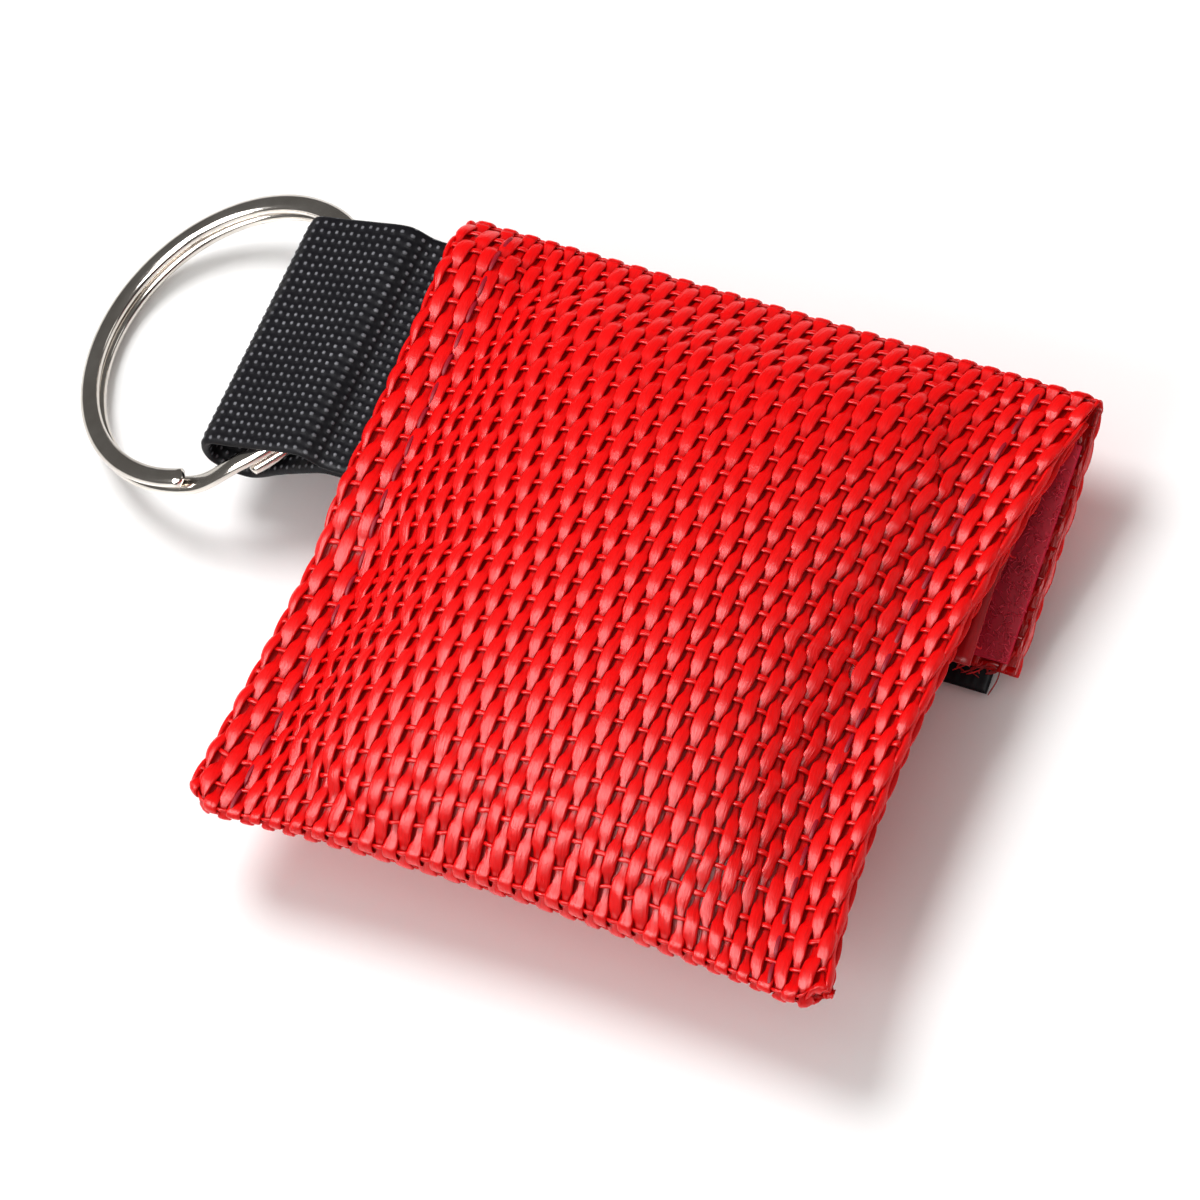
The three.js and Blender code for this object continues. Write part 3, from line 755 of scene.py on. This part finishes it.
# ---------------------------------------------------------------------------
# Soft half of the closure: crimson loop tape sewn across the flap's inner face. Its face is a pile of
# many small nylon loops, which stand up from a stiff woven backing.
bpy.ops.object.select_all(action="DESELECT")
bpy.ops.mesh.primitive_cube_add(size=1, location=(0, 0, 0))
loop_backing = bpy.context.object
bpy.ops.object.mode_set(mode="EDIT")
bpy.ops.mesh.select_all(action="SELECT")
bpy.ops.transform.resize(value=(0.0578, 0.0195, 0.00038))
bpy.ops.mesh.bevel(offset=0.00012, segments=2)
bpy.ops.object.mode_set(mode="OBJECT")
to_flap = Matrix.Translation(Vector(flap_point(0.85, 13.1, 0.0)) / 1000) @ Matrix(
    ((1, 0, 0, 0), (0, flap_down.y, flap_out.y, 0), (0, flap_down.z, flap_out.z, 0), (0, 0, 0, 1))
)
loop_backing.data.transform(to_flap)
loop_backing.data.flip_normals()
loop_backing.name = "loop_tape_backing"
random = np.random.default_rng(31)
loops = 5200
pile_root = -0.17
angle = random.uniform(0, 2 * math.pi, loops)[:, None]
arc = np.linspace(-0.15, math.pi * 0.98, 7)[None]
wide = random.uniform(0.16, 0.42, loops)[:, None]
tall = random.uniform(0.25, 0.62, loops)[:, None]
tip = bell(0.25, loops) * np.sin(arc) * 0.6
x = random.uniform(-27.9, 29.7, loops)[:, None] + wide * np.cos(arc) * np.cos(angle) + tip
s = random.uniform(3.4, 22.7, loops)[:, None] + wide * np.cos(arc) * np.sin(angle) + tip
paths = flap_point(x, s, pile_root - tall * np.sin(arc))
loop_pile = make_piece("loop_tape_pile", *joined(hair(paths, 0.05, 3, 32)))
crimson = thread_material("crimson_loops", (0.50, 0.0, 0.02), (0.72, 0.003, 0.045), 3.0, 0.7, 0.2)
pale_loops = thread_material("pale_loops", (0.55, 0.002, 0.03), (0.88, 0.05, 0.10), 3.0, 0.6, 0.2)
loop_backing.data.materials.append(crimson)
loop_pile.data.materials.append(pale_loops)
for piece in (loop_backing, loop_pile):
    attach(piece, "flap")
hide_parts("loop_tape")

# ---------------------------------------------------------------------------
# Hooked half of the closure: stiff moulded hook tape sewn across the back, with the free end cut a
# little askew. Rows of small bent nylon hooks cover it.
tape_columns, tape_rows = 62, 20
tape_half = 28.1
tape_low, tape_high = 3.6, 21.9
tape_x = np.linspace(-tape_half, tape_half, tape_columns)
tape_y = np.linspace(tape_low, tape_high, tape_rows)
gx, gy = np.meshgrid(tape_x, tape_y)
under = cad_surface("back_panel", False)(gx, gy)


def tape_at(a, up):
    """The back's face under the tape, from the tape's middle: the place and the way into the pouch."""
    b = up + (tape_low + tape_high) / 2
    i = np.interp(a, tape_x, np.arange(tape_columns))
    j = np.interp(b, tape_y, np.arange(tape_rows))
    i0 = np.minimum(i.astype(int), tape_columns - 2)
    j0 = np.minimum(j.astype(int), tape_rows - 2)
    fi, fj = i - i0, j - j0
    skew = 1 + np.clip((11.0 - b) / 7.4, 0, 1) * 0.035 * (np.asarray(a) > 0)
    low = under[j0, i0] * (1 - fi) + under[j0, i0 + 1] * fi
    high = under[j0 + 1, i0] * (1 - fi) + under[j0 + 1, i0 + 1] * fi
    place = np.stack(np.broadcast_arrays(a * skew, b, low * (1 - fj) + high * fj), axis=-1)
    return place, np.broadcast_to(np.array([0.0, 0.0, 1.0]), place.shape)


tape_face = 0.38
backing = shell(tape_at, -9.1, 9.1, 28.0, tape_columns, 30, 0.10, tape_face)
random = np.random.default_rng(41)
hook_x, hook_y = np.meshgrid(np.arange(-27.3, 27.4, 1.3), np.arange(-8.2, 8.3, 1.1))
hook_x = hook_x + np.where(np.arange(hook_x.shape[0])[:, None] % 2, 0.65, 0.0)
hook_x, hook_y = hook_x.ravel()[:, None], hook_y.ravel()[:, None]
bend = np.array([0.0, 0.0, 0.04, 0.14, 0.3, 0.42, 0.46])[None]
stand = np.array([-0.1, 0.12, 0.25, 0.35, 0.37, 0.28, 0.14])[None]
way = np.where(random.uniform(0, 1, hook_x.shape) < 0.5, -1.0, 1.0)
a = hook_x + bend * way
b = hook_y + random.normal(0, 0.05, hook_x.shape) + 0 * bend
place, normal = tape_at(a, b)
paths = place - normal * (tape_face + stand)[..., None]
hook_tape = make_piece("hook_tape_hooks", *joined(backing, hair(paths, 0.075, 4, 42)))
# The backing between the hooks has a lift of -1, so it takes the painted shade colour.
hook_nylon = thread_material("hook_nylon", (0.38, 0.0, 0.003), (0.74, 0.006, 0.012), 1.5, 0.38, 0.1)
hook_tape.data.materials.append(hook_nylon)
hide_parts("hook_tape")
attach(hook_tape, "pouch")

# ---------------------------------------------------------------------------
# Stitching in dark red polyester thread: both side seams, the two tapes and the pull strip. Each
# stitch is a short round of thread whose ends dive into the cloth.
bpy.ops.object.select_all(action="DESELECT")
bpy.ops.mesh.primitive_cylinder_add(vertices=8, radius=1, depth=2, end_fill_type="TRIFAN", location=(0, 0, 0))
stitch = bpy.context.object
bpy.ops.object.mode_set(mode="EDIT")
bpy.ops.mesh.select_all(action="SELECT")
bpy.ops.mesh.subdivide(number_cuts=5)
bpy.ops.mesh.remove_doubles(threshold=0.0001)
bpy.ops.object.mode_set(mode="OBJECT")
stitch_points = np.array([v.co for v in stitch.data.vertices])
stitch.data.calc_loop_triangles()
stitch_faces = np.array([t.vertices for t in stitch.data.loop_triangles])
bpy.data.objects.remove(stitch)
round_off = np.sqrt(np.clip(1 - np.abs(stitch_points[:, 2]) ** 4, 0.06, 1))
stitch_points[:, 0] *= round_off
stitch_points[:, 1] *= round_off


stitch_pitch = 2.7
row_points = 60
strip_down = 20.6


def stitch_row(line, normal, share, radius, sink):
    """Copies of the stitch along a line of points, each laid on the cloth and arched over it."""
    at_length = lengths(line)

    def along_row(values, where):
        return np.array([np.interp(where, at_length, values[:, c]) for c in range(3)])

    points, faces, flat = [], [], []
    for n in range(int(at_length[-1] / stitch_pitch)):
        centre = (n + 0.5) * stitch_pitch
        here = along_row(line, centre)
        along = along_row(line, centre + 0.3) - along_row(line, centre - 0.3)
        up = along_row(normal, centre)
        along /= np.linalg.norm(along)
        side = np.cross(up, along)
        side /= np.linalg.norm(side)
        up = np.cross(along, side)
        t = stitch_points[:, 2]
        rise = stitch_points[:, 0] * radius - sink * t**2
        points.append(
            here
            + along * (t * stitch_pitch * share / 2)[:, None]
            + side * (stitch_points[:, 1] * radius * 1.15)[:, None]
            + up * rise[:, None]
        )
        faces.append(stitch_faces + n * len(stitch_points))
        flat.append(np.stack([stitch_points[:, 1] * 0.4 + t * 0.3, t * 1.2 + n], axis=1))
    made = np.concatenate(points)
    return made, np.concatenate(faces), np.concatenate(flat), np.full(len(made), 0.2)


stitch_thread = thread_material("stitch_thread", (0.16, 0.0, 0.007), (0.40, 0.002, 0.018), 9.0, 0.5, 0.5)
seam_in = 5.6
run = np.linspace(2.6, front_end - 0.5, row_points)
for side, name in ((-1, "seam_stitches_left"), (1, "seam_stitches_right")):
    place, normal = strip_at(np.full(row_points, side * (across - seam_in)), run)
    row = make_piece(name, *joined(stitch_row(place, normal, 0.9, 0.17, 0.32)))
    row.data.materials.append(stitch_thread)
    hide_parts(name.replace("stitches", "thread"))
    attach(row, "pouch")

x = np.linspace(-27.6, 27.6, row_points)
rows = []
for b in (-7.6, 7.6):
    place, normal = tape_at(x, np.full(row_points, b))
    rows.append(stitch_row(place - normal * 0.5, -normal, 0.85, 0.17, 0.25))
hook_stitches = make_piece("hook_tape_stitches", *joined(*rows))
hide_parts("hook_tape_thread_upper", "hook_tape_thread_lower")
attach(hook_stitches, "pouch")
out_row = np.repeat([[0.0, flap_out.y, flap_out.z]], row_points, axis=0)
x = np.linspace(-26.8, 26.8, row_points)
loop_stitches = make_piece(
    "loop_tape_stitches", *joined(stitch_row(flap_point(x, 7.3, 1.02), out_row, 0.9, 0.18, 0.3))
)
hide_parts("loop_tape_thread")
strip_stitches = make_piece(
    "pull_strip_stitches", *joined(stitch_row(flap_point(x, strip_down, 1.62), out_row, 0.9, 0.18, 0.3))
)
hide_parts("pull_strip_thread")
for piece in (hook_stitches, loop_stitches, strip_stitches):
    piece.data.materials.append(stitch_thread)
for piece in (loop_stitches, strip_stitches):
    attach(piece, "flap")

# ---------------------------------------------------------------------------
# Black polypropylene webbing. A flat band makes the loop for the ring: its two tails are sewn into
# the ring side's seam. A thinner strip of the same is the pull on the flap's outer face.
web_pitch = 0.85


def knots(u, v):
    """The weave's raised knots: a lattice, every second column a little lower than its neighbour."""
    column = np.round(u / web_pitch)
    stagger = 0.13 * (column % 2)
    return (np.cos(math.pi * u / web_pitch) ** 2) * (np.cos(math.pi * (v / web_pitch + stagger)) ** 2)


def rounded_off(distance, radius, least):
    """How full a section is near an end or an edge that is rounded off."""
    return np.sqrt(np.clip(1 - np.clip(1 - distance / radius, 0, 1) ** 2, least, 1))


def web_slab(line, normal, low, high, thick, knot, step):
    """A flat band swept along a line in X and Z, with its knots raised on both faces."""
    run = lengths(line)
    s = np.linspace(0, run[-1], int(run[-1] / step))
    y = np.linspace(low, high, int((high - low) / step))
    centre = np.stack([np.interp(s, run, line[:, c]) for c in range(3)], axis=1)
    out = np.stack([np.interp(s, run, normal[:, c]) for c in range(3)], axis=1)
    out /= np.linalg.norm(out, axis=1, keepdims=True)
    ss, yy = np.meshgrid(s, y, indexing="ij")
    bump = knot * knots(ss, yy)
    edge = np.minimum(yy - low, high - yy)
    half = (thick / 2) * rounded_off(edge, 0.45, 0.02) + bump * np.clip(edge / 1.0, 0, 1)
    half = half * rounded_off(np.minimum(ss - s[0], s[-1] - ss), 0.3, 0.1)
    base = centre[:, None] + np.array([0.0, 1.0, 0.0]) * yy[..., None]
    top = base + out[:, None] * half[..., None]
    under = base - out[:, None] * half[..., None]
    faces = closed_slab(np.arange(ss.size).reshape(ss.shape).T)
    flat = np.stack([ss, yy], axis=2).reshape(-1, 2)
    lift = (bump / knot).ravel()
    return (
        np.concatenate([top.reshape(-1, 3), under.reshape(-1, 3)]),
        faces,
        np.concatenate([flat, flat]),
        np.concatenate([lift, lift]),
    )


def smooth_line(points, count):
    """A smooth line through points, evenly spaced."""
    points = np.array(points, float)
    before, after = 2 * points[0] - points[1], 2 * points[-1] - points[-2]
    longer = np.concatenate([[before], points, [after]])
    out = []
    for i in range(len(points) - 1):
        p0, p1, p2, p3 = longer[i : i + 4]
        bend_two = 2 * p0 - 5 * p1 + 4 * p2 - p3
        bend_three = 3 * p1 - p0 - 3 * p2 + p3
        for t in np.linspace(0, 1, 24, endpoint=False):
            out.append(0.5 * (2 * p1 + (p2 - p0) * t + bend_two * t**2 + bend_three * t**3))
    out.append(points[-1])
    out = np.array(out)
    run = lengths(out)
    even = np.linspace(0, run[-1], count)
    return np.stack([np.interp(even, run, out[:, c]) for c in range(out.shape[1])], axis=1)


ring_tilt = math.radians(19)
ring_centre = np.array([-46.8, 13.8, 6.0])
web_thick = 0.9
web_top = 26.3
web_bottom = 2.9
fold_x = -44.5
sag_z = 4.6
high_x = -33.9
ring_half_height = 1.27
web_half = web_thick / 2
web_steps = 400


def above_ring(x):
    """The height of the tilted ring's upper side at x."""
    return ring_centre[2] + (x - ring_centre[0]) * math.tan(ring_tilt) + ring_half_height


def share_x(share):
    """A place on the way from the webbing's crest to its outer fold."""
    return high_x + (fold_x - high_x) * share


def below_ring(x):
    return above_ring(x) - 2 * ring_half_height


nose_z = (above_ring(share_x(0.9)) + sag_z) / 2
web_path = smooth_line(
    [
        (-25.6, 10.95),
        (-28.5, 10.97),
        (-31.3, 10.98),
        (high_x + 0.4, above_ring(high_x) + 0.36),
        (share_x(0.3), above_ring(share_x(0.3)) + web_half),
        (share_x(0.6), above_ring(share_x(0.6)) + web_half),
        (share_x(0.88), above_ring(share_x(0.9)) + web_half),
        (fold_x + web_half, nose_z),
        (share_x(0.87), sag_z + web_half),
        (share_x(0.6), min(below_ring(share_x(0.6)), sag_z)),
        (share_x(0.3), min(below_ring(share_x(0.3)), 7.2) - web_half),
        (high_x, below_ring(high_x) - web_half),
        (-31.3, 10.02),
        (-28.5, 10.05),
        (-25.6, 10.05),
    ],
    web_steps,
)
web_line = np.stack([web_path[:, 0], np.zeros(web_steps), web_path[:, 1]], axis=1)
web_run = np.gradient(web_line, axis=0)
web_run /= np.linalg.norm(web_run, axis=1, keepdims=True)
web_normal = np.stack([web_run[:, 2], np.zeros(web_steps), -web_run[:, 0]], axis=1)
webbing = make_piece(
    "webbing", *joined(web_slab(web_line, web_normal, web_bottom, web_top, web_thick - 0.1, 0.13, 0.17))
)
strip_half, strip_out = 28.3, 1.35
strip_line = np.zeros((40, 3))
strip_line[:, 0] = np.linspace(-strip_half, strip_half, 40)
strip_face = np.repeat([[0.0, 0.0, -1.0]], 40, axis=0)
points, faces, flat, lift = web_slab(strip_line, strip_face, -5, 5, 0.4, 0.05, 0.2)
# Its knots' lift is scaled down, so the painted knot highlights hardly show on it.
pull_strip_web = make_piece("pull_strip_web", *joined((points, faces, flat, lift * 0.55)))
laid = Matrix.Translation(Vector(flap_point(0, strip_down, strip_out)) / 1000) @ Matrix(
    ((1, 0, 0, 0), (0, flap_down.y, -flap_out.y, 0), (0, flap_down.z, -flap_out.z, 0), (0, 0, 0, 1))
)
pull_strip_web.data.transform(laid)

black_web, tree, shader = new_material("black_webbing")
shader.inputs["Specular IOR Level"].default_value = 0.12
lift = tree.nodes.new("ShaderNodeAttribute")
lift.attribute_name = "lift"
# Painted highlights: where the knots stand highest the black turns pale grey, in patches that a noise sets.
dots = tree.nodes.new("ShaderNodeMapRange")
dots.inputs["From Min"].default_value = 0.5
dots.inputs["From Max"].default_value = 0.95
group = thread_streaks(tree, 7.0)
knot_highlight = tree.nodes.new("ShaderNodeMath")
knot_highlight.operation = "MULTIPLY"
colour = colour_between(tree, (0.0035, 0.003, 0.005), (0.42, 0.42, 0.46))
gloss = value_between(tree, 0.42, 0.62)
relief = fine_relief(tree, 0.6, 0.00004)
tree.links.new(lift.outputs["Fac"], dots.inputs["Value"])
tree.links.new(dots.outputs[0], knot_highlight.inputs[0])
tree.links.new(group.outputs["Patch"], knot_highlight.inputs[1])
tree.links.new(knot_highlight.outputs[0], colour.inputs[0])
feed_shader(tree, shader, colour, gloss, group.outputs["Patch"], relief, group.outputs["Streak"])
for piece in (webbing, pull_strip_web):
    piece.data.materials.append(black_web)
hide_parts("webbing_loop", "webbing_tails")
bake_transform(webbing)
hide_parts("pull_strip")
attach(pull_strip_web, "flap")

# ---------------------------------------------------------------------------
# Split key ring of nickel-plated spring steel: flat wire wound twice round, which steps from its
# lower turn to its upper one. Both cut ends are a little rounded by tumbling.
jog = math.radians(-67)
jog_half = math.radians(12)
coil_height = 1.1
coil_step = coil_height + 0.08
wire_width = 1.75
ring_radius = 15
wire_radius = ring_radius - wire_width / 2
wire_rings, wire_sides = 420, 20
turns = np.linspace(0, 4 * math.pi - 2 * jog_half, wire_rings)
ease = np.clip((turns - (2 * math.pi - 2 * jog_half)) / (2 * jog_half), 0, 1)
height = coil_step * (ease * ease * (3 - 2 * ease) - 0.5)
ends = np.minimum(turns, turns[-1] - turns) * wire_radius
slim = rounded_off(ends, 0.5, 0.03)
sx, sz = section(wire_sides, 0.86)
r = wire_radius + (wire_width / 2) * sx[None] * slim[:, None]
z = height[:, None] + (coil_height / 2) * sz[None] * slim[:, None]
theta = (jog + jog_half + turns)[:, None]
points = np.stack([r * np.cos(theta), r * np.sin(theta), z + 0 * theta], axis=-1)
tip_c, tip_s = math.cos(ring_tilt), math.sin(ring_tilt)
turned_points = np.stack(
    [
        points[..., 0] * tip_c - points[..., 2] * tip_s,
        points[..., 1],
        points[..., 0] * tip_s + points[..., 2] * tip_c,
    ],
    axis=-1,
) + ring_centre
faces = tube_faces(1, wire_rings, wire_sides)[:, ::-1]
round_wire = np.arange(wire_sides)[None] * 0.25
flat = np.stack(np.broadcast_arrays(round_wire, turns[:, None] * wire_radius), axis=-1)
key_ring = make_piece("key_ring", turned_points.reshape(-1, 3), faces, flat.reshape(-1, 2))
nickel, tree, shader = new_material("nickel")
shader.inputs["Metallic"].default_value = 1.0
group = thread_streaks(tree, 3.0)
tone = colour_between(tree, (0.50, 0.45, 0.40), (0.80, 0.76, 0.71))
polish = value_between(tree, 0.07, 0.20)
scratch = fine_relief(tree, 0.12, 0.00003)
tree.links.new(group.outputs["Patch"], tone.inputs[0])
feed_shader(tree, shader, tone, polish, group.outputs["Streak"], scratch, group.outputs["Streak"])
key_ring.data.materials.append(nickel)
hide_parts("split_ring")
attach(key_ring, "ring")

# ---------------------------------------------------------------------------
# The filling, which the closed pouch hides: a folded clear film shield with its one-way valve, in a
# small clear bag, and a paper leaflet over it. These keep their own shapes and get real finishes.


def plain_finish(name, low, high, scale, rough_low, rough_high, bump, transmission=0.0):
    """A smooth finish whose colour, gloss and surface vary a little with a fine grain."""
    material, tree, shader = new_material(name)
    shader.inputs["Transmission Weight"].default_value = transmission
    place = tree.nodes.new("ShaderNodeTexCoord")
    grain = tree.nodes.new("ShaderNodeTexNoise")
    grain.inputs["Scale"].default_value = scale
    grain.inputs["Detail"].default_value = 4.0
    tint = colour_between(tree, low, high)
    matt = value_between(tree, rough_low, rough_high)
    dent = fine_relief(tree, bump, 0.0002)
    tree.links.new(place.outputs["Object"], grain.inputs["Vector"])
    tree.links.new(grain.outputs["Fac"], tint.inputs[0])
    feed_shader(tree, shader, tint, matt, grain.outputs["Fac"], dent, grain.outputs["Fac"])
    return material


clear_film = plain_finish("clear_film", (0.80, 0.86, 0.88), (0.92, 0.95, 0.96), 220, 0.08, 0.25, 0.5, 0.85)
paper = plain_finish("paper", (0.84, 0.82, 0.76), (0.93, 0.92, 0.88), 900, 0.75, 0.9, 0.15)
blue_plastic = plain_finish("blue_plastic", (0.02, 0.13, 0.40), (0.04, 0.18, 0.50), 500, 0.32, 0.45, 0.05)
white_plastic = plain_finish("white_plastic", (0.80, 0.81, 0.80), (0.90, 0.90, 0.88), 500, 0.30, 0.42, 0.05)
silicone = plain_finish("silicone", (0.66, 0.69, 0.70), (0.78, 0.80, 0.80), 400, 0.45, 0.6, 0.08)
filling_finishes = {
    "inner_bag": clear_film,
    "shield_film": clear_film,
    "leaflet": paper,
    "valve_cap": blue_plastic,
    "valve_body": white_plastic,
    "valve_membrane": silicone,
    "valve_filter": paper,
}
for node, material in filling_finishes.items():
    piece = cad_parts[node]
    piece.data.materials.clear()
    piece.data.materials.append(material)
